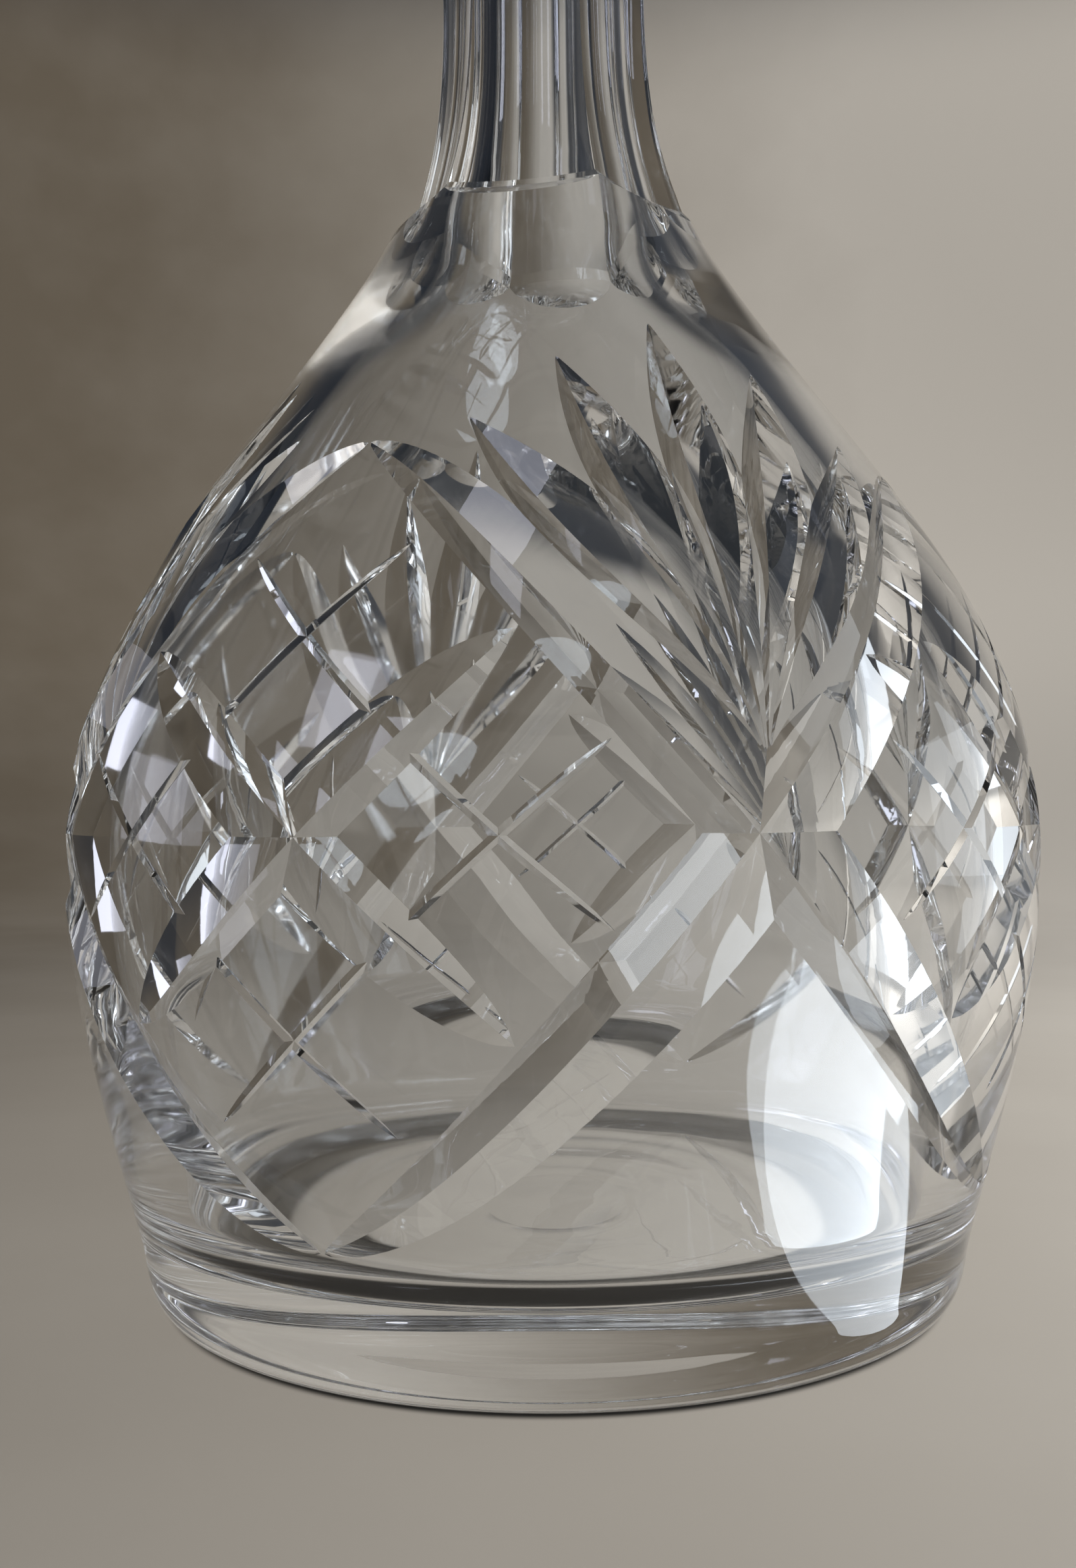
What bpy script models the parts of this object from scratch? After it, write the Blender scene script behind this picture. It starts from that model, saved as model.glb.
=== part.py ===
"""Cut crystal decanter: a blown and turned glass body with wheel-cut mitres, fans and neck flutes, and a
ground-in stopper with a faceted ball. Metres, +Z up, standing on the origin with a fan facing -Y."""

from math import acos, cos, pi, radians, sin, tan

import bmesh
import bpy
from mathutils import Vector
from mathutils.geometry import interpolate_bezier

MM = 0.001

# Blank, outside: the points where the outline turns, as (radius, height)
BODY_RADIUS = 65 * MM
BODY_HEIGHT = 57 * MM  # where the body is widest
FOOT_RADIUS = 50.5 * MM  # outer edge of the flat standing ring
FOOT_RING = 5.5 * MM  # width of the standing ring
UNDERSIDE_DISH = 0.9 * MM  # how far the underside is hollowed at its centre
HEEL = (55.0 * MM, 6.0 * MM)
SHOULDER = (37.65 * MM, 118 * MM)
NECK_RADIUS = 14.4 * MM  # at its waist
WAIST_HEIGHT = 178 * MM
NECK_TOP = (15.4 * MM, 224 * MM)
LIP_RADIUS = 20.5 * MM
LIP_HEIGHT = 246 * MM
LIP_THICKNESS = 4 * MM
SHOULDER_SLOPE = Vector((-0.73, 1.0)).normalized()
HEEL_SLOPE = Vector((0.13, 1.0)).normalized()

# Cavity
FLOOR_HEIGHT = 10.8 * MM
FLOOR_RADIUS = 42.2 * MM
FLOOR_CROWN = 0.2 * MM
INNER_HEEL = (51.0 * MM, 17.5 * MM)
INNER_RADIUS = 59.2 * MM
INNER_SHOULDER = (32.4 * MM, 116 * MM)
BORE_RADIUS = 9.6 * MM
BORE_START = 172 * MM

# Ground joint between the mouth and the stopper
SEAT_BOTTOM = 214 * MM
SEAT_BOTTOM_RADIUS = 10.5 * MM
SEAT_TAPER = 0.06  # radius gained for each unit of height
SEAT_GAP = 0.35 * MM
PEG_BOTTOM = 217 * MM

# Stopper, above the mouth
COLLAR_HEIGHT = 251 * MM
COLLAR_RADIUS = 14.5 * MM
STEM_RADIUS = 10.5 * MM
STEM_TOP = 262 * MM
BALL_SIDES = 12
BALL_RADIUS = 23.5 * MM
BALL_CENTRE = 277 * MM
BALL_LATITUDES = (66, 42, 14, -14, -42, -62)

# Cutting pattern. Azimuths are degrees round from -Y towards +X, and the pattern repeats every quarter.
REPEATS = 4
QUARTER = 360 / REPEATS
CROSSING_HEIGHT = 61.2 * MM
BEND = 1.65  # how a long cut flattens as it leaves the crossing, in radians of its curve for each radian
MITRE_ANGLE = 132  # included angle of the wheel's edge
MITRE_RISE = 44 * MM
MITRE_DEPTH = 2.8 * MM
ARM_REACH = 21.5
ARM_RISE = 20.7 * MM
ARM_DEPTH = 2.1 * MM
LINE_CENTRE = (10.2, 10.5 * MM)
LINE_REACH = 20.3
LINE_RISE = 20 * MM
LINE_ANGLE = 100
LINE_DEPTH = 0.5 * MM
FAN_BASE = 67 * MM
FAN_TIPS = ((0, 121.4 * MM), (18.5, 115.8 * MM), (31.0, 107.5 * MM))
FAN_DEPTH = 2.9 * MM
FAN_ANGLE = 118
FAN_CURVE = 1.5
FLUTES = 6
FLUTE_RADIUS = 70 * MM  # of the hollow across each flute
FLUTE_CUTS = (
    (140.6, -0.9), (141.4, -0.4), (142.4, 0.5), (143.6, 1.5), (144.9, 2.6), (146.3, 3.35), (149, 3.2),
    (152.5, 2.95), (159, 2.65), (167, 2.45), (178, 2.4), (222, 2.4), (229, 2.0), (233, 0.5), (235, -0.8),
)
LIFT = 1.2 * MM  # how far a cutter stands out of the blank

BODY_STEPS = 48
CAVITY_STEPS = 40


def clear_scene():
    for obj in list(bpy.data.objects):
        bpy.data.objects.remove(obj, do_unlink=True)


def new_collection(name):
    collection = bpy.data.collections.new(name)
    bpy.context.scene.collection.children.link(collection)
    return collection


def add_mesh(name, bm, collection):
    mesh = bpy.data.meshes.new(name)
    bm.to_mesh(mesh)
    bm.free()
    obj = bpy.data.objects.new(name, mesh)
    collection.objects.link(obj)
    return obj


def glass(name, colour, roughness):
    material = bpy.data.materials.new(name)
    material.use_nodes = True
    shader = material.node_tree.nodes["Principled BSDF"]
    shader.inputs["Base Color"].default_value = (*colour, 1.0)
    shader.inputs["Roughness"].default_value = roughness
    shader.inputs["Metallic"].default_value = 0.0
    shader.inputs["Transmission Weight"].default_value = 1.0
    shader.inputs["IOR"].default_value = 1.54
    return material


def curve(start, leave, arrive, end, points):
    """Points along a Bezier after its start, with its two handles given in mm from its ends."""
    handles = [start + Vector(leave) * MM, end + Vector(arrive) * MM]
    return [Vector(p) for p in interpolate_bezier(start, *handles, end, points + 1)][1:]


def turned(name, profile, steps, collection):
    """A solid turned about Z from a profile of (radius, height) that runs down its outer side."""
    bm = bmesh.new()
    verts = [bm.verts.new((radius, 0.0, height)) for radius, height in profile]
    for first, second in zip(verts, verts[1:]):
        bm.edges.new((first, second))
    obj = add_mesh(name, bm, collection)
    screw = obj.modifiers.new("turn", "SCREW")
    screw.axis = "Z"
    screw.steps = steps
    screw.render_steps = steps
    screw.use_merge_vertices = True
    screw.merge_threshold = 0.00001
    screw.use_smooth_shade = True
    return obj


def outer_profile(detail=1):
    """The blank's outline from the lip down to the middle of the underside."""
    lip_edge = Vector((LIP_RADIUS, LIP_HEIGHT - LIP_THICKNESS / 2))
    lip_top = Vector((LIP_RADIUS - 2.2 * MM, LIP_HEIGHT))
    lip_under = Vector((LIP_RADIUS - 1.2 * MM, LIP_HEIGHT - LIP_THICKNESS))
    neck_top = Vector(NECK_TOP)
    waist = Vector((NECK_RADIUS, WAIST_HEIGHT))
    shoulder = Vector(SHOULDER)
    widest = Vector((BODY_RADIUS, BODY_HEIGHT))
    heel = Vector(HEEL)
    foot = Vector((FOOT_RADIUS, 0.0))
    ring = Vector((FOOT_RADIUS - FOOT_RING, 0.0))
    dish = Vector((0.0, UNDERSIDE_DISH))
    points = [Vector((0.0, LIP_HEIGHT)), lip_top]
    points += curve(lip_top, (1.4, 0), (0, 1.1), lip_edge, 3 * detail)
    points += curve(lip_edge, (0, -1.2), (0.8, 0.9), lip_under, 2 * detail)
    points += curve(lip_under, (-3, -3.4), (0, 8), neck_top, 4 * detail)
    points += curve(neck_top, (0, -16), (0, 18), waist, 2 * detail)
    points += curve(waist, (0, -27), SHOULDER_SLOPE * 31, shoulder, 8 * detail)
    points += curve(shoulder, SHOULDER_SLOPE * -26.5, (0, 25.5), widest, 8 * detail)
    points += curve(widest, (0, -19.5), HEEL_SLOPE * 6.5, heel, 10 * detail)
    points += curve(heel, HEEL_SLOPE * -4, (2.6, 0), foot, 4 * detail)
    points.append(ring)
    points += curve(ring, (-10, 0.2), (16, 0), dish, 3 * detail)
    return points


def cavity_profile(detail=1):
    """The hollow's outline, from above the mouth down to the middle of the floor."""
    mouth = LIP_HEIGHT + LIFT
    seat_bottom = Vector((SEAT_BOTTOM_RADIUS, SEAT_BOTTOM))
    bore_top = Vector((BORE_RADIUS, SEAT_BOTTOM - 1.5 * MM))
    bore = Vector((BORE_RADIUS, BORE_START))
    shoulder = Vector(INNER_SHOULDER)
    widest = Vector((INNER_RADIUS, BODY_HEIGHT))
    heel = Vector(INNER_HEEL)
    floor = Vector((FLOOR_RADIUS, FLOOR_HEIGHT))
    middle = Vector((0.0, FLOOR_HEIGHT + FLOOR_CROWN))
    points = [Vector((0.0, mouth)), Vector((seat_radius(mouth), mouth)), seat_bottom, bore_top, bore]
    points += curve(bore, (0, -33), SHOULDER_SLOPE * 24, shoulder, 6 * detail)
    points += curve(shoulder, SHOULDER_SLOPE * -26, (0, 24), widest, 6 * detail)
    points += curve(widest, (0, -18), (3.2, 12), heel, 4 * detail)
    points += curve(heel, (-1.1, -4.0), (4.1, 0), floor, 5 * detail)
    points += curve(floor, (-12, 0), (12, 0), middle, 2)
    return points


def seat_radius(height):
    return SEAT_BOTTOM_RADIUS + (height - SEAT_BOTTOM) * SEAT_TAPER


def blank_radius(outline, height):
    """The blank's outer radius at a height, from its outline, which runs downwards."""
    for upper, lower in zip(outline, outline[1:]):
        if lower.y <= height <= upper.y and upper.y > lower.y:
            share = (height - lower.y) / (upper.y - lower.y)
            return lower.x + (upper.x - lower.x) * share
    raise ValueError(f"no outline at {height}")


def on_blank(outline, azimuth, height):
    """The point of the blank at an azimuth in degrees and a height, and the way out of the glass there."""
    radius = blank_radius(outline, height)
    slope = (blank_radius(outline, height + MM) - blank_radius(outline, height - MM)) / (2 * MM)
    angle = radians(azimuth)
    out = Vector((sin(angle), -cos(angle), 0.0))
    point = out * radius + Vector((0.0, 0.0, height))
    return point, (out - Vector((0.0, 0.0, slope))).normalized()


def mitre_section(included_angle):
    """A V as (sideways, outwards) points, for a cut of a given depth."""
    spread = tan(radians(included_angle / 2))

    def section(depth):
        half = (depth + LIFT) * spread
        return [(0.0, -depth), (half, LIFT), (-half, LIFT)]

    return section


def hollow_section(radius, points=6):
    """A shallow round hollow as (sideways, outwards) points."""

    def section(depth):
        limit = acos(1 - (depth + LIFT) / radius)
        angles = [limit * (2 * k / points - 1) for k in range(points + 1)]
        return [(radius * sin(a), radius * (1 - cos(a)) - depth) for a in angles]

    return section


def groove(name, outline, stations, section, collection):
    """A cutter lofted along stations of (azimuth, height, depth) on the blank, as a wheel would follow them."""
    places = [on_blank(outline, azimuth, height) for azimuth, height, _ in stations]
    bm = bmesh.new()
    rings = []
    for index, (point, out) in enumerate(places):
        before = places[max(index - 1, 0)][0]
        after = places[min(index + 1, len(places) - 1)][0]
        side = (after - before).cross(out).normalized()
        ring = [bm.verts.new(point + side * x + out * y) for x, y in section(stations[index][2])]
        rings.append(ring)
    for near, far in zip(rings, rings[1:]):
        for k in range(len(near)):
            bm.faces.new((near[k - 1], near[k], far[k], far[k - 1]))
    bm.faces.new(rings[0])
    bm.faces.new(reversed(rings[-1]))
    bmesh.ops.recalc_face_normals(bm, faces=bm.faces)
    return add_mesh(name, bm, collection)


def leaf(depth, share, fullness):
    """The depth of a cut that runs out to a point at both ends, at a share of -1 to 1 along its length."""
    inside = 1 - abs(share) ** fullness
    return depth * inside ** 0.75 if inside > 0 else -0.3 * MM


def diagonal(centre, reach, rise, depth, fullness, count):
    """Stations of a slanting cut through a centre of (azimuth, height); a negative reach slants it left."""
    bend = BEND * radians(abs(reach))
    stations = []
    for k in range(count + 1):
        share = 1.04 * (2 * k / count - 1)
        height = centre[1] + rise * sin(bend * share) / sin(bend)
        stations.append((centre[0] + reach * share, height, leaf(depth, share, fullness)))
    return stations


def ray(azimuth, tip, count):
    """Stations of one leaf of a fan, from the fan's base to its tip."""
    stations = []
    for k in range(count + 1):
        share = 1.03 * k / count
        depth = FAN_DEPTH * sin(pi * share ** 1.3) if share < 1 else -0.3 * MM
        height = FAN_BASE + (tip[1] - FAN_BASE) * share
        stations.append((azimuth + tip[0] * share ** FAN_CURVE, height, depth))
    return stations


def pattern(outline, collection):
    """Every cut of the pattern, as cutters."""
    mitre = mitre_section(MITRE_ANGLE)
    leaf_cut = mitre_section(FAN_ANGLE)
    line = mitre_section(LINE_ANGLE)
    cuts = []
    for quarter in range(REPEATS):
        fan = quarter * QUARTER
        diamond = fan + QUARTER / 2
        for lean in (1, -1):
            long = diagonal((fan, CROSSING_HEIGHT), lean * QUARTER / 2, MITRE_RISE, MITRE_DEPTH, 2, 16)
            arm = diagonal((diamond, CROSSING_HEIGHT), lean * ARM_REACH, ARM_RISE, ARM_DEPTH, 3, 10)
            cuts += [(long, mitre), (arm, mitre)]
            for up in (1, -1):
                centre = (diamond + lean * LINE_CENTRE[0], CROSSING_HEIGHT + up * LINE_CENTRE[1])
                reach = -lean * up * LINE_REACH
                cuts.append((diagonal(centre, reach, LINE_RISE, LINE_DEPTH, 8, 6), line))
            for tip in FAN_TIPS[1:]:
                cuts.append((ray(fan, (lean * tip[0], tip[1]), 9), leaf_cut))
        cuts.append((ray(fan, FAN_TIPS[0], 9), leaf_cut))
    for k in range(FLUTES):
        azimuth = (k + 0.5) * 360 / FLUTES
        stations = [(azimuth, height * MM, depth * MM) for height, depth in FLUTE_CUTS]
        cuts.append((stations, hollow_section(FLUTE_RADIUS)))
    for number, (stations, section) in enumerate(cuts):
        groove(f"cut_{number:02d}", outline, stations, section, collection)


def subtract(obj, name, cutter=None, collection=None):
    cut = obj.modifiers.new(name, "BOOLEAN")
    cut.operation = "DIFFERENCE"
    cut.solver = "EXACT"
    if cutter:
        cut.object = cutter
    else:
        cut.operand_type = "COLLECTION"
        cut.collection = collection


def hide_cutters(collection):
    for obj in collection.all_objects:
        obj.hide_render = True
        obj.display_type = "WIRE"


def make_body(parts, cutters):
    body = turned("decanter_body", outer_profile(), BODY_STEPS, parts)
    body.data.materials.append(glass("body_crystal", (0.93, 0.94, 0.95), 0.02))
    cuts = bpy.data.collections.new("pattern_cutters")
    cutters.children.link(cuts)
    pattern(outer_profile(4), cuts)
    subtract(body, "pattern", collection=cuts)
    cavity = turned("cavity", cavity_profile(), CAVITY_STEPS, cutters)
    subtract(body, "hollow", cutter=cavity)
    return body


def make_stopper(parts, cutters):
    peg_top = Vector((seat_radius(LIP_HEIGHT) - SEAT_GAP, LIP_HEIGHT))
    peg_bottom = Vector((seat_radius(PEG_BOTTOM) - SEAT_GAP, PEG_BOTTOM))
    collar = Vector((COLLAR_RADIUS, COLLAR_HEIGHT))
    stem = Vector((STEM_RADIUS, STEM_TOP - 5 * MM))
    core = Vector((STEM_RADIUS, BALL_CENTRE))
    profile = [Vector((0.0, BALL_CENTRE)), core, Vector((STEM_RADIUS, STEM_TOP)), stem]
    profile += curve(stem, (0.1, -2.4), (-1.6, 2.0), collar, 4)
    profile += curve(collar, (0.3, -1.6), (1.0, 1.4), peg_top, 4)
    profile += [peg_bottom + Vector((0.0, MM)), peg_bottom - Vector((MM, 0.0)), Vector((0.0, PEG_BOTTOM))]
    stopper = turned("stopper", profile, CAVITY_STEPS, parts)
    stopper.data.materials.append(glass("stopper_crystal", (0.93, 0.94, 0.95), 0.05))
    angles = [radians(latitude) for latitude in BALL_LATITUDES]
    rows = [(BALL_RADIUS * cos(a), BALL_CENTRE + BALL_RADIUS * sin(a)) for a in angles]
    outline = [(0.0, rows[0][1]), *rows, (0.0, rows[-1][1])]
    ball = turned("ball", outline, BALL_SIDES, cutters)
    join = stopper.modifiers.new("ball", "BOOLEAN")
    join.operation = "UNION"
    join.solver = "EXACT"
    join.object = ball
    return stopper


def main():
    clear_scene()
    parts = new_collection("cut_crystal_decanter")
    cutters = new_collection("cutters")
    make_body(parts, cutters)
    make_stopper(parts, cutters)
    hide_cutters(cutters)


main()
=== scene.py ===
"""Cut crystal decanter: fine glass, its materials, a pale studio and the camera. Metres, +Z up."""

from math import acos, atan2, cos, pi, radians, sin, tan

import bmesh
import bpy
import numpy as np
from mathutils import Matrix, Vector
from mathutils.geometry import interpolate_bezier


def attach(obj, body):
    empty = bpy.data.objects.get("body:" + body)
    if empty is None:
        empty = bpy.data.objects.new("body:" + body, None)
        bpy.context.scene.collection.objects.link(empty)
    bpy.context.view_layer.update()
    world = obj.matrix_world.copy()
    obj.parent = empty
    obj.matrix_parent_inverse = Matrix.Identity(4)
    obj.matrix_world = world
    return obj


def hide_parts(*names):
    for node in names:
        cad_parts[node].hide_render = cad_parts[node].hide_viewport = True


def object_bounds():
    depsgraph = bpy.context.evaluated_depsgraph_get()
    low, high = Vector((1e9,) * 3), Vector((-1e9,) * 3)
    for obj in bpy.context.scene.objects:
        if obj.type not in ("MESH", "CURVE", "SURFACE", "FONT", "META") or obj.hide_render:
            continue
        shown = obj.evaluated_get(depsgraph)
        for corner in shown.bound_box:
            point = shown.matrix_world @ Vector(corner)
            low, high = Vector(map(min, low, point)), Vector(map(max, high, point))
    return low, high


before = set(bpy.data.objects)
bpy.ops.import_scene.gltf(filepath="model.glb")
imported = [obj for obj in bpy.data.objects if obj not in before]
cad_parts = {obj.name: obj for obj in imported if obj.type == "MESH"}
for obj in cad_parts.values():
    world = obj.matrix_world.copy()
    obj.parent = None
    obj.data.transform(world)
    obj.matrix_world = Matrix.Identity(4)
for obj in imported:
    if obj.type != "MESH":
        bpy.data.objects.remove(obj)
CAD_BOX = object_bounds()

MM = 0.001

# Blank, outside: the points where the outline turns, as (radius, height)
BODY_RADIUS = 64.93 * MM
BODY_HEIGHT = 57 * MM
FOOT_RADIUS = 50.5 * MM
FOOT_RING = 5.5 * MM
UNDERSIDE_DISH = 0.9 * MM
HEEL = (55.0 * MM, 6.0 * MM)
SHOULDER = (37.65 * MM, 118 * MM)
NECK_RADIUS = 14.4 * MM
WAIST_HEIGHT = 178 * MM
NECK_TOP = (15.4 * MM, 224 * MM)
LIP_RADIUS = 20.5 * MM
LIP_HEIGHT = 246 * MM
LIP_THICKNESS = 4 * MM
SHOULDER_SLOPE = Vector((-0.73, 1.0)).normalized()
HEEL_SLOPE = Vector((0.13, 1.0)).normalized()

# Cavity
FLOOR_HEIGHT = 10.8 * MM
FLOOR_RADIUS = 42.2 * MM
FLOOR_CROWN = 0.2 * MM
INNER_HEEL = (51.0 * MM, 17.5 * MM)
INNER_RADIUS = 59.2 * MM
INNER_SHOULDER = (32.4 * MM, 116 * MM)
BORE_RADIUS = 9.6 * MM
BORE_START = 172 * MM

# Ground joint between the mouth and the stopper
SEAT_BOTTOM = 214 * MM
SEAT_BOTTOM_RADIUS = 10.5 * MM
SEAT_TAPER = 0.06
SEAT_GAP = 0.35 * MM
PEG_BOTTOM = 217 * MM

# Stopper, above the mouth
COLLAR_HEIGHT = 251 * MM
COLLAR_RADIUS = 14.5 * MM
STEM_RADIUS = 10.5 * MM
STEM_TOP = 262 * MM
BALL_SIDES = 12
BALL_RADIUS = 23.5 * MM
BALL_CENTRE = 277 * MM
BALL_LATITUDES = (66, 42, 14, -14, -42, -62)

# Cutting pattern. Azimuths are degrees round from -Y towards +X, and the pattern repeats every quarter.
REPEATS = 4
QUARTER = 360 / REPEATS
CROSSING_HEIGHT = 61.2 * MM
BEND = 1.65
MITRE_ANGLE = 132
MITRE_RISE = 44 * MM
MITRE_DEPTH = 2.8 * MM
ARM_REACH = 21.5
ARM_RISE = 20.7 * MM
ARM_DEPTH = 2.1 * MM
LINE_CENTRE = (10.2, 10.5 * MM)
LINE_REACH = 20.3
LINE_RISE = 20 * MM
LINE_ANGLE = 100
LINE_DEPTH = 0.5 * MM
FAN_BASE = 67 * MM
FAN_TIPS = ((0, 121.4 * MM), (18.5, 115.8 * MM), (31.0, 107.5 * MM))
FAN_DEPTH = 2.9 * MM
FAN_ANGLE = 118
FAN_CURVE = 1.5
FLUTES = 6
FLUTE_RADIUS = 70 * MM
FLUTE_CUTS = (
    (140.6, -0.9), (141.4, -0.4), (142.4, 0.5), (143.6, 1.5), (144.9, 2.6), (146.3, 3.35), (149, 3.2),
    (152.5, 2.95), (159, 2.65), (167, 2.45), (178, 2.4), (222, 2.4), (229, 2.0), (233, 0.5), (235, -0.8),
)
MITRE_FULLNESS = 2  # how blunt the two ends of a cut are
ARM_FULLNESS = 3
LINE_FULLNESS = 8
LEAF_POWER = 0.75
RAY_POWER = 1.3
OVERRUN = 1.04  # a cutter's length over its cut's, so that the wheel leaves the glass
RAY_OVERRUN = 1.03
CLEAR = -0.3 * MM  # the depth of a cutter that has left the glass
LIFT = 1.2 * MM  # how far each cutter stands out of the glass

# The glass
LEAD_CRYSTAL_IOR = 1.545
GLASS_TINT = (0.962, 0.977, 0.991, 1.0)
STAIN_START = 0.62  # the noise above which a stain begins, before its share is taken off
STAIN_FULL = 0.75
STAIN_SPREAD = 0.4
# Each kind of surface: its waves, its roughness and its stain, as glass_material takes them
FINISHES = {
    "fire_polished": ([(16 * MM, 0.025 * MM)], 0.0, (0.05, 30 * MM, 0.35)),
    "wheel_cut": ([(5 * MM, 0.006 * MM)], 0.0, None),
    "inner_wall": ([(22 * MM, 0.07 * MM)], 0.02, None),
    "ground": ([(0.4 * MM, 0.02 * MM)], 0.38, None),
    "foot_ring": ([(6 * MM, 0.004 * MM)], 0.05, (0.12, 12 * MM, 0.6)),
}
SURFACES = tuple(FINISHES)

# Fineness of the visible glass
DETAIL = 5
BODY_STEPS = 240
CAVITY_STEPS = 160
STOPPER_STEPS = 128
STOPPER_CURVE = 16
MITRE_STATIONS = 72
ARM_STATIONS = 48
LINE_STATIONS = 40
RAY_STATIONS = 48
FLUTE_STATIONS = 90
CREASE = 11  # degrees between two faces above which the edge between them is sharp
WALL_MATCH = 0.03 * MM  # a point this near a turned outline lies on it
NORMAL_MATCH = 0.985  # and so does a face whose normal agrees this well with the outline's

# Camera, as the photograph was taken
PHOTO_HEIGHT = 2324
FOCAL_SHARE = 2280 / PHOTO_HEIGHT  # focal length over the frame's long side
SENSOR = 36
CAMERA_AZIMUTH = -20
CAMERA_DISTANCE = 214.5 * MM
CAMERA_HEIGHT = 63.7 * MM
CAMERA_TURN = 0.46
CAMERA_PITCH = 0.95
CAMERA_ROLL = -0.6

# Studio: a round paper sweep
STUDIO_FLOOR = 0.7
STUDIO_RADIUS = 1.35
STUDIO_COVE = 1.0
STUDIO_HEIGHT = 1.7
STUDIO_STEPS = 96
STUDIO_GAP = 0.2 * MM

# Paper, and the dim room past it, which is painted on the same sweep as painted shade; the paper carries
# painted light and shade too
# The paper's tone at the painted-shade end and at the painted-light end of its ramp
PAPER_SHADED = (0.23, 0.195, 0.15, 1.0)
PAPER_LIT = (0.80, 0.76, 0.70, 1.0)
# painted shade: the colour of the dim room painted on the sweep
PAINTED_ROOM_SHADE = (0.025, 0.036, 0.056, 1.0)
MOTTLE_SCALE = 9
MOTTLE_SHARE = 0.2
PAPER_ROUGHNESS = 0.95
PAPER_SPECULAR = 0.1
SHADED_END = 0.1
CONTACT_RING = 44.5 * MM  # the middle of the shade painted under the standing ring, as no light casts it

# Where the paper's painted light and shade change: from and to in metres, and its value at each. The
# first three run to the right of the decanter or towards the viewer, as CAMERA_AZIMUTH has it, and stay
# there in other views.
# painted shade on the left, painted light on the right
LEFT_TO_RIGHT = (-0.6, 0.6, 0.0, 1.0)
# painted shade: where the dim room is painted, in front, beside, off the floor and above
ROOM_IN_FRONT = (-0.5, 0.2, 0.0, 0.93)
ROOM_BESIDE = (0.7, 1.0, 0.0, 0.9)
ROOM_OFF_FLOOR = (0.02, 0.35, 0.0, 1.0)
ROOM_ABOVE = (0.74, 1.08, 0.0, 0.95)
CONTACT_SHADE = (6.5 * MM, 8.5 * MM, 0.03, 1.0)
# painted light: the paper paler under the glass
PAINTED_LIGHT_UNDER_GLASS = (32 * MM, 40 * MM, 1.3, 1.0)
# painted light: the paper paler far from the decanter
PAINTED_LIGHT_FAR_OFF = (0.4, 0.85, 1.0, 1.35)
# painted shade: the floor darker than the wall, paler up the wall
PAINTED_SHADE_ON_FLOOR = (0.0, 0.28, 0.56, 0.74)

# Lights: what each reaches, its place and what it faces as the camera sees them, size, watts, colour
DAY_WHITE = (1.0, 0.98, 0.95)
SKY_WHITE = (0.88, 0.94, 1.0)
LILAC = (0.84, 0.86, 1.0)
PALE_BLUE = (0.84, 0.92, 1.0)
LIGHTS = {
    "window": ("glass", (0.6, 0.12, 0.12), (0, 0, 0.06), (0.3, 0.2), 0.19, SKY_WHITE),
    "daylight": ("studio", (0.5, -0.02, 0.34), (0, 0, 0), (0.5, 0.5), 4.4, DAY_WHITE),
    "fill": ("glass", (-0.6, -0.5, 0.5), (0, 0, 0.1), (0.2, 0.3), 0.7, LILAC),
    "left_window": ("glass", (-0.5, 0.03, 0.125), (0, 0, 0.07), (0.2, 0.1), 0.08, LILAC),
    "overhead": ("studio", (0.25, 0.1, 1.8), (0.35, 0.4, 0), (1.4, 1.4), 19.5, DAY_WHITE),
}
LOW_WINDOW_PLACE = (0.127, -0.0935, 0.001)
LOW_WINDOW_RUN = (0.856, -0.517, 0)
LOW_WINDOW_SIZE = (0.2, 0.072)
LOW_WINDOW_POWER = 0.175
SKY = (0.70, 0.77, 0.86, 1.0)
SKY_STRENGTH = 0.035
BOUNCES = 32


def add_object(name, mesh):
    obj = bpy.data.objects.new(name, mesh)
    bpy.context.scene.collection.objects.link(obj)
    return obj


def add_mesh(name, bm):
    mesh = bpy.data.meshes.new(name)
    bm.to_mesh(mesh)
    bm.free()
    return add_object(name, mesh)


# ---------------------------------------------------------------- outlines


def curve(start, leave, arrive, end, points):
    """Points along a Bezier after its start, with its two handles given in mm from its ends."""
    handles = [start + Vector(leave) * MM, end + Vector(arrive) * MM]
    return [Vector(p) for p in interpolate_bezier(start, *handles, end, points + 1)][1:]


def outer_profile(detail):
    """The blank's outline from the lip down to the middle of the underside."""
    lip_edge = Vector((LIP_RADIUS, LIP_HEIGHT - LIP_THICKNESS / 2))
    lip_top = Vector((LIP_RADIUS - 2.2 * MM, LIP_HEIGHT))
    lip_under = Vector((LIP_RADIUS - 1.2 * MM, LIP_HEIGHT - LIP_THICKNESS))
    neck_top = Vector(NECK_TOP)
    waist = Vector((NECK_RADIUS, WAIST_HEIGHT))
    shoulder = Vector(SHOULDER)
    widest = Vector((BODY_RADIUS, BODY_HEIGHT))
    heel = Vector(HEEL)
    foot = Vector((FOOT_RADIUS, 0.0))
    ring = Vector((FOOT_RADIUS - FOOT_RING, 0.0))
    dish = Vector((0.0, UNDERSIDE_DISH))
    points = [Vector((0.0, LIP_HEIGHT)), lip_top]
    points += curve(lip_top, (1.4, 0), (0, 1.1), lip_edge, 3 * detail)
    points += curve(lip_edge, (0, -1.2), (0.8, 0.9), lip_under, 2 * detail)
    points += curve(lip_under, (-3, -3.4), (0, 8), neck_top, 4 * detail)
    points += curve(neck_top, (0, -16), (0, 18), waist, 2 * detail)
    points += curve(waist, (0, -27), SHOULDER_SLOPE * 31, shoulder, 8 * detail)
    points += curve(shoulder, SHOULDER_SLOPE * -26.5, (0, 25.5), widest, 8 * detail)
    points += curve(widest, (0, -19.5), HEEL_SLOPE * 6.5, heel, 10 * detail)
    points += curve(heel, HEEL_SLOPE * -4, (2.6, 0), foot, 4 * detail)
    points.append(ring)
    points += curve(ring, (-10, 0.2), (16, 0), dish, 3 * detail)
    return points


def seat_radius(height):
    return SEAT_BOTTOM_RADIUS + (height - SEAT_BOTTOM) * SEAT_TAPER


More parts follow.
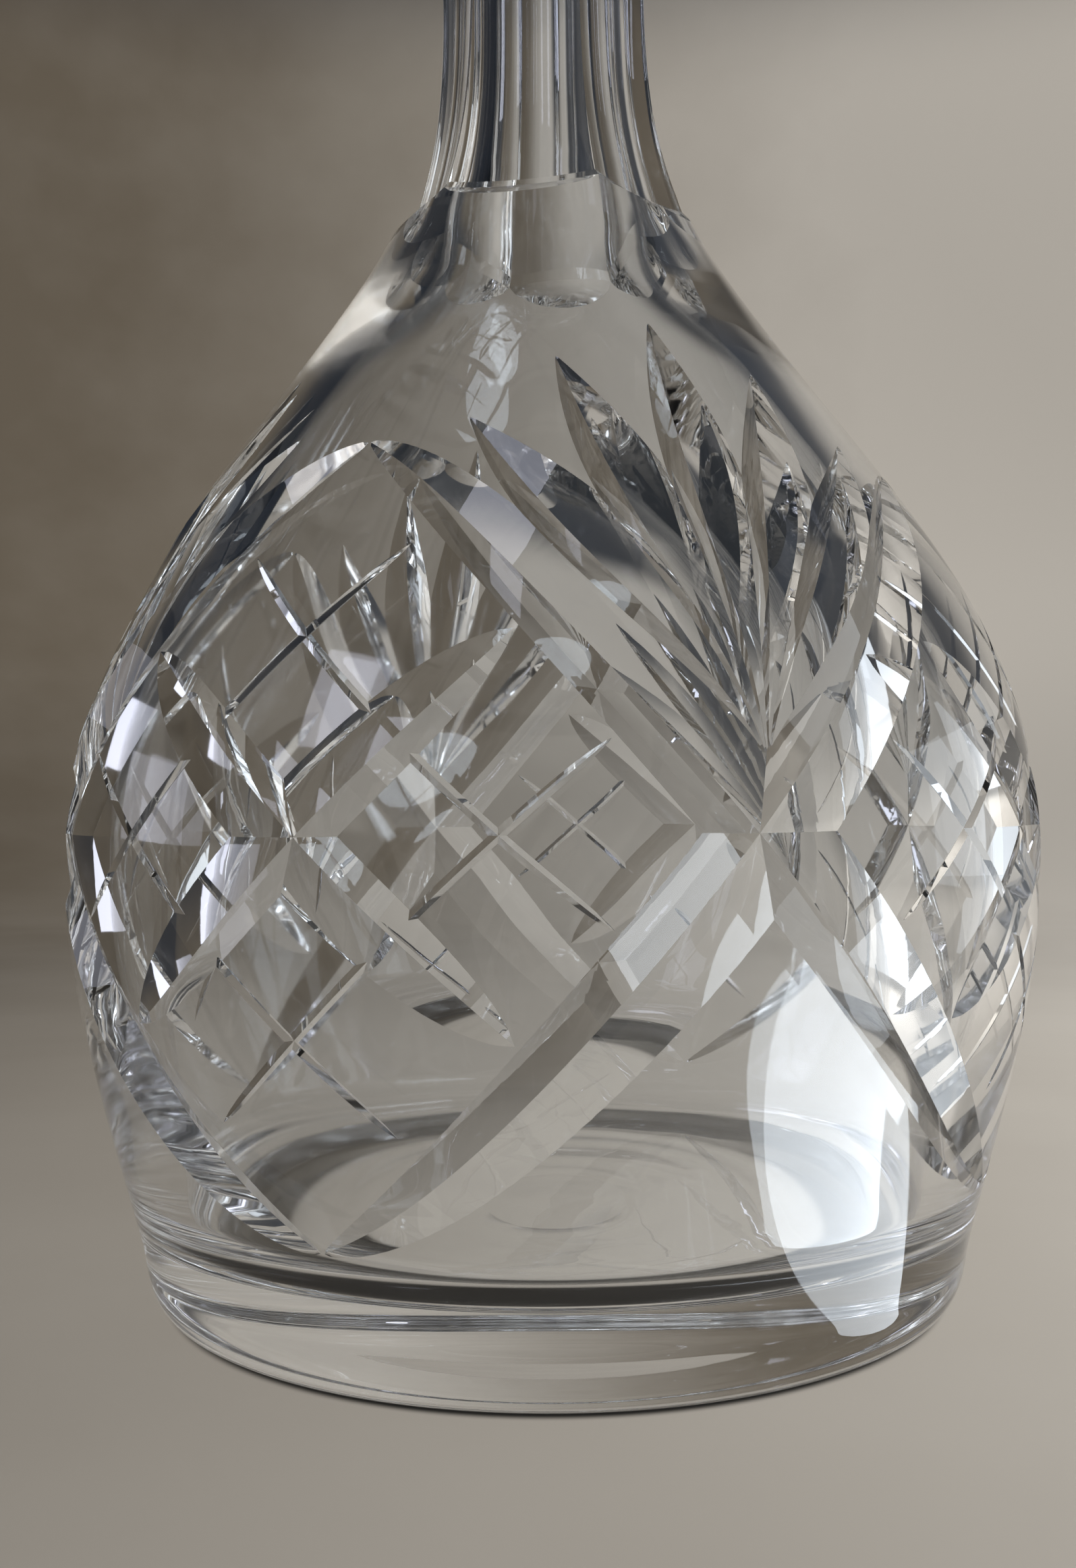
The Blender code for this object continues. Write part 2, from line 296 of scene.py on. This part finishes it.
def cavity_profile(detail):
    """The hollow's outline, from above the mouth down to the middle of the floor."""
    mouth = LIP_HEIGHT + LIFT
    seat_bottom = Vector((SEAT_BOTTOM_RADIUS, SEAT_BOTTOM))
    bore_top = Vector((BORE_RADIUS, SEAT_BOTTOM - 1.5 * MM))
    bore = Vector((BORE_RADIUS, BORE_START))
    shoulder = Vector(INNER_SHOULDER)
    widest = Vector((INNER_RADIUS, BODY_HEIGHT))
    heel = Vector(INNER_HEEL)
    floor = Vector((FLOOR_RADIUS, FLOOR_HEIGHT))
    middle = Vector((0.0, FLOOR_HEIGHT + FLOOR_CROWN))
    points = [Vector((0.0, mouth)), Vector((seat_radius(mouth), mouth)), seat_bottom, bore_top, bore]
    points += curve(bore, (0, -33), SHOULDER_SLOPE * 24, shoulder, 6 * detail)
    points += curve(shoulder, SHOULDER_SLOPE * -26, (0, 24), widest, 6 * detail)
    points += curve(widest, (0, -18), (3.2, 12), heel, 4 * detail)
    points += curve(heel, (-1.1, -4.0), (4.1, 0), floor, 5 * detail)
    points += curve(floor, (-12, 0), (12, 0), middle, 3 * detail)
    return points


def turned(name, profile, steps):
    """A solid turned about Z from a profile of (radius, height) that runs down its outer side."""
    bm = bmesh.new()
    verts = [bm.verts.new((point[0], 0.0, point[1])) for point in profile]
    for first, second in zip(verts, verts[1:]):
        bm.edges.new((first, second))
    obj = add_mesh(name, bm)
    screw = obj.modifiers.new("turn", "SCREW")
    screw.axis = "Z"
    screw.steps = steps
    screw.render_steps = steps
    screw.use_merge_vertices = True
    screw.merge_threshold = 0.000001
    return applied(obj)


def applied(obj):
    """The object with its modifiers made real."""
    graph = bpy.context.evaluated_depsgraph_get()
    mesh = bpy.data.meshes.new_from_object(obj.evaluated_get(graph))
    obj.modifiers.clear()
    obj.data = mesh
    return obj


# ---------------------------------------------------------------- cuts


class Blank:
    """The blank's outer radius and slope at any height, from its outline."""

    def __init__(self, outline):
        side = [p for p in outline if 0.0 < p.y < LIP_HEIGHT - LIP_THICKNESS and p.x > FOOT_RADIUS * 0.2]
        side = sorted(side, key=lambda p: p.y)
        self.heights = np.array([p.y for p in side])
        self.radii = np.array([p.x for p in side])
        self.slopes = np.gradient(self.radii, self.heights)

    def radius(self, height):
        return float(np.interp(height, self.heights, self.radii))

    def place(self, azimuth, height):
        """A point of the blank, by azimuth in degrees and height, and the way out of the glass there."""
        slope = float(np.interp(height, self.heights, self.slopes))
        angle = radians(azimuth)
        out = Vector((sin(angle), -cos(angle), 0.0))
        point = out * self.radius(height) + Vector((0.0, 0.0, height))
        return point, (out - Vector((0.0, 0.0, slope))).normalized()


def mitre_section(included_angle):
    """The V that a mitre wheel cuts, for a depth."""
    spread = tan(radians(included_angle / 2))

    def section(depth):
        half = (depth + LIFT) * spread
        return [(0.0, -depth), (half, LIFT), (-half, LIFT)]

    return section


def hollow_section(radius, points=24):
    """The shallow arc that a wide wheel cuts, for a depth."""

    def section(depth):
        limit = acos(1 - (depth + LIFT) / radius)
        angles = [limit * (2 * k / points - 1) for k in range(points + 1)]
        return [(radius * sin(a), radius * (1 - cos(a)) - depth) for a in angles]

    return section


def groove(name, blank, stations, section):
    """A cutter lofted along stations of (azimuth, height, depth) on the blank."""
    places = [blank.place(azimuth, height) for azimuth, height, _ in stations]
    bm = bmesh.new()
    rings = []
    for index, (point, out) in enumerate(places):
        before = places[max(index - 1, 0)][0]
        after = places[min(index + 1, len(places) - 1)][0]
        side = (after - before).cross(out).normalized()
        rings.append([bm.verts.new(point + side * x + out * y) for x, y in section(stations[index][2])])
    for near, far in zip(rings, rings[1:]):
        for k in range(len(near)):
            bm.faces.new((near[k - 1], near[k], far[k], far[k - 1]))
    bm.faces.new(rings[0])
    bm.faces.new(reversed(rings[-1]))
    bmesh.ops.recalc_face_normals(bm, faces=bm.faces)
    return add_mesh(name, bm)


def leaf(depth, share, fullness):
    """The depth of a cut that runs out at both ends, at a share of -1 to 1 along its length."""
    inside = 1 - abs(share) ** fullness
    return depth * inside ** LEAF_POWER if inside > 0 else CLEAR


def diagonal(centre, reach, rise, depth, fullness, count):
    """Stations of a slanting cut through a centre; a negative reach slants it left."""
    bend = BEND * radians(abs(reach))
    stations = []
    for k in range(count + 1):
        share = OVERRUN * (2 * k / count - 1)
        height = centre[1] + rise * sin(bend * share) / sin(bend)
        stations.append((centre[0] + reach * share, height, leaf(depth, share, fullness)))
    return stations


def ray(azimuth, tip, count):
    """Stations of one leaf of a fan, from the fan's base to its tip."""
    stations = []
    for k in range(count + 1):
        share = RAY_OVERRUN * k / count
        depth = FAN_DEPTH * sin(pi * share ** RAY_POWER) if share < 1 else CLEAR
        height = FAN_BASE + (tip[1] - FAN_BASE) * share
        stations.append((azimuth + tip[0] * share ** FAN_CURVE, height, depth))
    return stations


def smooth_stations(azimuth, pairs, count):
    """Stations up the neck through the pairs of height and depth, eased between them."""
    heights = np.array([height for height, _ in pairs]) * MM
    depths = np.array([depth for _, depth in pairs]) * MM
    slopes = np.gradient(depths, heights)
    stations = []
    for height in np.linspace(heights[0], heights[-1], count):
        k = min(max(int(np.searchsorted(heights, height)) - 1, 0), len(heights) - 2)
        width = heights[k + 1] - heights[k]
        t = (height - heights[k]) / width
        depth = (
            (2 * t ** 3 - 3 * t ** 2 + 1) * depths[k]
            + (t ** 3 - 2 * t ** 2 + t) * width * slopes[k]
            + (3 * t ** 2 - 2 * t ** 3) * depths[k + 1]
            + (t ** 3 - t ** 2) * width * slopes[k + 1]
        )
        stations.append((azimuth, float(height), float(depth)))
    return stations


def pattern(blank):
    """Every cut, as cutter objects."""
    mitre = mitre_section(MITRE_ANGLE)
    leaf_cut = mitre_section(FAN_ANGLE)
    line = mitre_section(LINE_ANGLE)
    cuts = []
    for quarter in range(REPEATS):
        fan = quarter * QUARTER
        diamond = fan + QUARTER / 2
        for lean in (1, -1):
            crossing = (fan, CROSSING_HEIGHT)
            middle = (diamond, CROSSING_HEIGHT)
            reach = lean * QUARTER / 2
            long = diagonal(crossing, reach, MITRE_RISE, MITRE_DEPTH, MITRE_FULLNESS, MITRE_STATIONS)
            reach = lean * ARM_REACH
            arm = diagonal(middle, reach, ARM_RISE, ARM_DEPTH, ARM_FULLNESS, ARM_STATIONS)
            cuts += [(long, mitre), (arm, mitre)]
            for up in (1, -1):
                centre = (diamond + lean * LINE_CENTRE[0], CROSSING_HEIGHT + up * LINE_CENTRE[1])
                reach = -lean * up * LINE_REACH
                fine = diagonal(centre, reach, LINE_RISE, LINE_DEPTH, LINE_FULLNESS, LINE_STATIONS)
                cuts.append((fine, line))
            for tip in FAN_TIPS[1:]:
                cuts.append((ray(fan, (lean * tip[0], tip[1]), RAY_STATIONS), leaf_cut))
        cuts.append((ray(fan, FAN_TIPS[0], RAY_STATIONS), leaf_cut))
    flute = hollow_section(FLUTE_RADIUS)
    for k in range(FLUTES):
        azimuth = (k + 0.5) * 360 / FLUTES
        cuts.append((smooth_stations(azimuth, FLUTE_CUTS, FLUTE_STATIONS), flute))
    return [groove(f"cut_{n:02d}", blank, *cut) for n, cut in enumerate(cuts)]


def cut_all(obj, cutters):
    """Take every cutter out of the object, then remove the cutters."""
    for number, cutter in enumerate(cutters):
        cut = obj.modifiers.new(f"cut_{number:02d}", "BOOLEAN")
        cut.operation = "DIFFERENCE"
        cut.solver = "MANIFOLD"
        cut.object = cutter
    applied(obj)
    for cutter in cutters:
        mesh = cutter.data
        bpy.data.objects.remove(cutter, do_unlink=True)
        bpy.data.meshes.remove(mesh)


def outline_normals(outline, outward):
    """Heights, radii and slopes of an outline's tall side, for smooth normals."""
    side = [p for p in outline if p.x > BORE_RADIUS - 0.6 * MM]
    points = sorted(side, key=lambda p: p.y)
    heights = np.array([p.y for p in points])
    radii = np.array([p.x for p in points])
    return heights, radii, np.gradient(radii, heights), outward


def polish(mesh, surfaces):
    """Smooth shading with exact normals on the turned walls, and crisp edges on the cuts."""
    mesh.shade_smooth()
    mesh.set_sharp_from_angle(angle=radians(CREASE))
    loops = len(mesh.loops)
    points = np.empty(len(mesh.vertices) * 3)
    mesh.vertices.foreach_get("co", points)
    points = points.reshape(-1, 3)
    corner = np.empty(loops, np.int32)
    mesh.loops.foreach_get("vertex_index", corner)
    starts = np.empty(len(mesh.polygons), np.int32)
    mesh.polygons.foreach_get("loop_start", starts)
    totals = np.empty(len(mesh.polygons), np.int32)
    mesh.polygons.foreach_get("loop_total", totals)
    face_of = np.repeat(np.arange(len(starts)), totals)
    face_normals = np.empty(len(starts) * 3)
    mesh.polygons.foreach_get("normal", face_normals)
    face_normals = face_normals.reshape(-1, 3)
    rho = np.hypot(points[:, 0], points[:, 1])
    away = points[:, :2] / np.maximum(rho, 1e-9)[:, None]
    custom = np.zeros((loops, 3))
    slot = np.full(len(starts), SURFACES.index("wheel_cut"), np.int32)
    for name, (heights, radii, slopes, outward) in surfaces.items():
        wall = np.interp(points[:, 2], heights, radii)
        on = np.abs(rho - wall) < WALL_MATCH
        on &= (points[:, 2] > heights[0]) & (points[:, 2] < heights[-1])
        face_on = np.minimum.reduceat(on[corner].astype(np.int8), starts).astype(bool)
        slope = np.interp(points[:, 2], heights, slopes)
        normal = np.column_stack([away, -slope])
        normal *= outward / np.linalg.norm(normal, axis=1)[:, None]
        agree = np.einsum("ij,ij->i", normal[corner], face_normals[face_of]) > NORMAL_MATCH
        use = face_on[face_of] & agree
        custom[use] = normal[corner][use]
        whole = np.minimum.reduceat(use.astype(np.int8), starts).astype(bool)
        slot[whole] = SURFACES.index(name)
    tops = np.maximum.reduceat(points[corner, 2], starts)
    bottoms = np.minimum.reduceat(points[corner, 2], starts)
    reach = np.maximum.reduceat(rho[corner], starts)
    in_mouth = (bottoms > SEAT_BOTTOM - 0.5 * MM) & (reach < NECK_RADIUS - 1.5 * MM)
    on_ring = (tops < 0.05 * MM) & (reach > FOOT_RADIUS - FOOT_RING - 1 * MM)
    slot[in_mouth] = SURFACES.index("ground")
    slot[on_ring] = SURFACES.index("foot_ring")
    mesh.polygons.foreach_set("material_index", slot)
    mesh.normals_split_custom_set([tuple(n) for n in custom])
    mesh.update()


# ---------------------------------------------------------------- materials


def mapped(nodes, links, source, low, high, to_low, to_high):
    """A socket's value eased from one range to another."""
    node = nodes.new("ShaderNodeMapRange")
    node.interpolation_type = "SMOOTHERSTEP"
    node.inputs["From Min"].default_value = low
    node.inputs["From Max"].default_value = high
    node.inputs["To Min"].default_value = to_low
    node.inputs["To Max"].default_value = to_high
    links.new(source, node.inputs["Value"])
    return node.outputs["Result"]


def maths(nodes, links, operation, *values):
    """A Math node's output; each value is a number or a socket."""
    node = nodes.new("ShaderNodeMath")
    node.operation = operation
    for socket, value in zip(node.inputs, values):
        if isinstance(value, (int, float)):
            socket.default_value = value
        else:
            links.new(value, socket)
    return node.outputs["Value"]


def along(nodes, links, source, direction):
    """How far a place lies along a direction."""
    node = nodes.new("ShaderNodeVectorMath")
    node.operation = "DOT_PRODUCT"
    node.inputs[1].default_value = direction
    links.new(source, node.inputs[0])
    return node.outputs["Value"]


def glass_material(name, waves, roughness, stain):
    """Lead crystal. Waves are (size, height) of the faint unevenness of its surface. A stain is the
    roughness where it is worn, the size of the patches and the share of the surface they cover."""
    material = bpy.data.materials.new(name)
    material.use_nodes = True
    nodes, links = material.node_tree.nodes, material.node_tree.links
    shader = nodes["Principled BSDF"]
    shader.inputs["Base Color"].default_value = GLASS_TINT
    shader.inputs["Roughness"].default_value = roughness
    shader.inputs["Transmission Weight"].default_value = 1.0
    shader.inputs["IOR"].default_value = LEAD_CRYSTAL_IOR
    place = nodes.new("ShaderNodeTexCoord").outputs["Object"]
    for size, height in waves:
        noise = noise_at(nodes, links, place, size, 2)
        bump = nodes.new("ShaderNodeBump")
        bump.inputs["Strength"].default_value = 1.0
        bump.inputs["Distance"].default_value = height
        links.new(noise, bump.inputs["Height"])
        links.new(bump.outputs["Normal"], shader.inputs["Normal"])
    if stain:
        rough, size, share = stain
        noise = noise_at(nodes, links, place, size, 5)
        start, full = STAIN_START - STAIN_SPREAD * share, STAIN_FULL - STAIN_SPREAD * share
        worn = mapped(nodes, links, noise, start, full, roughness, rough)
        links.new(worn, shader.inputs["Roughness"])
    return material


def noise_at(nodes, links, place, size, detail):
    noise = nodes.new("ShaderNodeTexNoise")
    noise.inputs["Scale"].default_value = 1 / size
    noise.inputs["Detail"].default_value = detail
    links.new(place, noise.inputs["Vector"])
    return noise.outputs["Fac"]


def glass_materials(piece):
    """One material for each kind of surface, in the order of SURFACES."""
    return [glass_material(f"{piece}_{surface}", *finish) for surface, finish in FINISHES.items()]


# ---------------------------------------------------------------- pieces


def make_body():
    outline = outer_profile(DETAIL)
    hollow = cavity_profile(DETAIL)
    body = turned("crystal_body", outline, BODY_STEPS)
    cutters = pattern(Blank(outline))
    cavity = turned("cavity", hollow, CAVITY_STEPS)
    cut_all(body, [*cutters, cavity])
    mesh = body.data
    mesh.materials.clear()
    for material in glass_materials("body"):
        mesh.materials.append(material)
    walls = {"fire_polished": outline_normals(outline, 1), "inner_wall": outline_normals(hollow, -1)}
    polish(mesh, walls)
    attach(body, "decanter")
    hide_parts("decanter_body")
    return body


def make_stopper():
    peg_top = Vector((seat_radius(LIP_HEIGHT) - SEAT_GAP, LIP_HEIGHT))
    peg_bottom = Vector((seat_radius(PEG_BOTTOM) - SEAT_GAP, PEG_BOTTOM))
    collar = Vector((COLLAR_RADIUS, COLLAR_HEIGHT))
    stem = Vector((STEM_RADIUS, STEM_TOP - 5 * MM))
    core = Vector((STEM_RADIUS, BALL_CENTRE))
    profile = [Vector((0.0, BALL_CENTRE)), core, Vector((STEM_RADIUS, STEM_TOP)), stem]
    profile += curve(stem, (0.1, -2.4), (-1.6, 2.0), collar, STOPPER_CURVE)
    profile += curve(collar, (0.3, -1.6), (1.0, 1.4), peg_top, STOPPER_CURVE)
    profile += [peg_bottom + Vector((0.0, MM)), peg_bottom - Vector((MM, 0.0))]
    profile.append(Vector((0.0, PEG_BOTTOM)))
    stopper = turned("crystal_stopper", profile, STOPPER_STEPS)
    angles = [radians(latitude) for latitude in BALL_LATITUDES]
    rows = [(BALL_RADIUS * cos(a), BALL_CENTRE + BALL_RADIUS * sin(a)) for a in angles]
    ball = turned("ball", [(0.0, rows[0][1]), *rows, (0.0, rows[-1][1])], BALL_SIDES)
    join = stopper.modifiers.new("ball", "BOOLEAN")
    join.operation = "UNION"
    join.solver = "MANIFOLD"
    join.object = ball
    applied(stopper)
    bpy.data.objects.remove(ball, do_unlink=True)
    stopper.data.materials.clear()
    for material in glass_materials("stopper"):
        stopper.data.materials.append(material)
    for face in stopper.data.polygons:
        kind = "wheel_cut"
        if face.center.z < LIP_HEIGHT:
            kind = "ground"
        elif face.center.z < STEM_TOP:
            kind = "fire_polished"
        face.material_index = SURFACES.index(kind)
    stopper.data.shade_smooth()
    stopper.data.set_sharp_from_angle(angle=radians(CREASE))
    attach(stopper, "stopper")
    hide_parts("stopper")
    return stopper


# ---------------------------------------------------------------- studio


def paper_with_painted_light():
    """Matt beige paper with a faint mottle, with painted shade on the left and painted light towards the
    window. Above it, beside it and in front of the decanter is a dim room, painted on as painted shade.
    The floor is painted darker than the wall, paler under the glass and far off as painted light, and a
    painted shadow rings the standing ring."""
    material = bpy.data.materials.new("paper_backdrop_painted_light_and_shade")
    material.use_nodes = True
    nodes, links = material.node_tree.nodes, material.node_tree.links
    shader = nodes["Principled BSDF"]
    shader.inputs["Roughness"].default_value = PAPER_ROUGHNESS
    shader.inputs["Specular IOR Level"].default_value = PAPER_SPECULAR
    place = nodes.new("ShaderNodeTexCoord").outputs["Object"]

    def fade(source, *span):
        return mapped(nodes, links, source, *span)

    def worked(operation, *values):
        return maths(nodes, links, operation, *values)

    right = along(nodes, links, place, beside_camera(1, 0, 0))
    near = along(nodes, links, place, beside_camera(0, -1, 0))
    up = along(nodes, links, place, (0, 0, 1))
    length = nodes.new("ShaderNodeVectorMath")
    length.operation = "LENGTH"
    links.new(place, length.inputs[0])
    from_axis = length.outputs["Value"]

    mottle = nodes.new("ShaderNodeTexNoise")
    mottle.inputs["Scale"].default_value = MOTTLE_SCALE
    mottle.inputs["Detail"].default_value = 6
    links.new(place, mottle.inputs["Vector"])
    # painted shade on the left fading to painted light on the right, with the paper's own mottle
    across = fade(right, *LEFT_TO_RIGHT)
    tone = nodes.new("ShaderNodeValToRGB")
    shaded, lit = tone.color_ramp.elements
    shaded.position = SHADED_END
    shaded.color = PAPER_SHADED
    lit.position = 1.0
    lit.color = PAPER_LIT
    links.new(worked("MULTIPLY_ADD", mottle.outputs["Fac"], MOTTLE_SHARE, across), tone.inputs["Fac"])

    # painted shade: the dim room painted in front, beside and above the decanter
    in_front = fade(near, *ROOM_IN_FRONT)
    beside = fade(worked("ABSOLUTE", right), *ROOM_BESIDE)
    off_floor = fade(up, *ROOM_OFF_FLOOR)
    above = fade(up, *ROOM_ABOVE)
    around = worked("MULTIPLY", worked("MAXIMUM", in_front, beside), off_floor)
    room = nodes.new("ShaderNodeMix")
    room.data_type = "RGBA"
    room.inputs["B"].default_value = PAINTED_ROOM_SHADE
    links.new(worked("MAXIMUM", around, above), room.inputs["Factor"])
    links.new(tone.outputs["Color"], room.inputs["A"])

    from_ring = worked("ABSOLUTE", worked("SUBTRACT", from_axis, CONTACT_RING))
    contact = fade(from_ring, *CONTACT_SHADE)
    # painted light: the paper paler under the glass
    under = fade(from_axis, *PAINTED_LIGHT_UNDER_GLASS)
    # painted light: the paper paler far from the decanter
    far = fade(from_axis, *PAINTED_LIGHT_FAR_OFF)
    # painted shade on the floor, times the painted shadow of the ring and the painted light under the
    # glass and far off
    level = fade(up, *PAINTED_SHADE_ON_FLOOR)
    for factor in (contact, under, far):
        level = worked("MULTIPLY", level, factor)
    shade = nodes.new("ShaderNodeVectorMath")
    shade.operation = "SCALE"
    links.new(room.outputs["Result"], shade.inputs[0])
    links.new(level, shade.inputs["Scale"])
    links.new(shade.outputs["Vector"], shader.inputs["Base Color"])
    return material


def make_studio():
    """A pale floor that sweeps up into a round backdrop, its paper carrying painted light and shade."""
    corner = Vector((STUDIO_FLOOR, 0.0))
    wall = Vector((STUDIO_RADIUS, STUDIO_COVE))
    profile = [Vector((0.0, 0.0)), corner]
    profile += curve(corner, (480, 0), (0, -600), wall, 64)
    profile.append(Vector((STUDIO_RADIUS, STUDIO_HEIGHT)))
    studio = turned("studio", reversed(profile), STUDIO_STEPS)
    studio.location.z = CAD_BOX[0].z - STUDIO_GAP
    studio.data.materials.append(paper_with_painted_light())
    return studio


def area_light(name, place, target, size, power, colour):
    light = bpy.data.lights.new(name, "AREA")
    light.shape = "RECTANGLE"
    light.size, light.size_y = size
    light.energy = power
    light.color = colour
    obj = add_object(name, light)
    obj.location = place
    obj.rotation_euler = (Vector(target) - Vector(place)).to_track_quat("-Z", "Y").to_euler()
    obj.visible_camera = False
    return obj


def beside_camera(right, ahead, up):
    """A place from the decanter's foot, as the camera sees it: to the right, away from it, and up."""
    angle = radians(CAMERA_AZIMUTH)
    x = right * cos(angle) - ahead * sin(angle)
    y = right * sin(angle) + ahead * cos(angle)
    return Vector((x, y, up))


def lights_only(light, objects, shadows=True):
    """The light reaches these objects and no others, and without shadows the glass doesn't block it."""
    group = bpy.data.collections.new(f"{light.name}_lights")
    for obj in objects:
        group.objects.link(obj)
    light.light_linking.receiver_collection = group
    if not shadows:
        light.light_linking.blocker_collection = group


def make_light(studio, glass_pieces):
    world = bpy.data.worlds.new("studio_world")
    bpy.context.scene.world = world
    world.use_nodes = True
    background = world.node_tree.nodes["Background"]
    background.inputs["Color"].default_value = SKY
    background.inputs["Strength"].default_value = SKY_STRENGTH
    for name, (reaches, place, target, size, power, colour) in LIGHTS.items():
        light = area_light(name, beside_camera(*place), beside_camera(*target), size, power, colour)
        on_glass = reaches == "glass"
        lights_only(light, glass_pieces if on_glass else [studio], shadows=on_glass)
    make_low_window(glass_pieces)


def make_low_window(glass_pieces):
    """A bright sill that lies flat beside the foot and mirrors in the lower body."""
    place = beside_camera(*LOW_WINDOW_PLACE)
    facing = place + Vector((0, 0, 1))
    light = area_light("low_window", place, facing, LOW_WINDOW_SIZE, LOW_WINDOW_POWER, PALE_BLUE)
    light.data.shape = "ELLIPSE"
    run = beside_camera(*LOW_WINDOW_RUN)
    light.rotation_euler = (pi, 0, atan2(run.y, run.x))
    lights_only(light, glass_pieces)


def make_camera():
    data = bpy.data.cameras.new("camera")
    data.sensor_width = SENSOR
    data.lens = FOCAL_SHARE * SENSOR
    data.clip_start = 0.01
    data.clip_end = 10
    camera = add_object("camera", data)
    angle = radians(CAMERA_AZIMUTH)
    camera.location = (CAMERA_DISTANCE * sin(angle), -CAMERA_DISTANCE * cos(angle), CAMERA_HEIGHT)
    turn = Matrix.Rotation(angle + radians(CAMERA_TURN), 4, "Z")
    tilt = Matrix.Rotation(radians(90 + CAMERA_PITCH), 4, "X")
    roll = Matrix.Rotation(radians(CAMERA_ROLL), 4, "Z")
    camera.rotation_euler = (turn @ tilt @ roll).to_euler()
    bpy.context.scene.camera = camera


def set_light_paths():
    """Enough bounces for light to find its way out of thick glass: each inner reflection is one."""
    cycles = bpy.context.scene.cycles
    cycles.max_bounces = BOUNCES
    cycles.glossy_bounces = BOUNCES
    cycles.transmission_bounces = BOUNCES
    bpy.context.scene.view_settings.view_transform = "Standard"


set_light_paths()
make_camera()
backdrop = make_studio()
make_light(backdrop, [make_body(), make_stopper()])
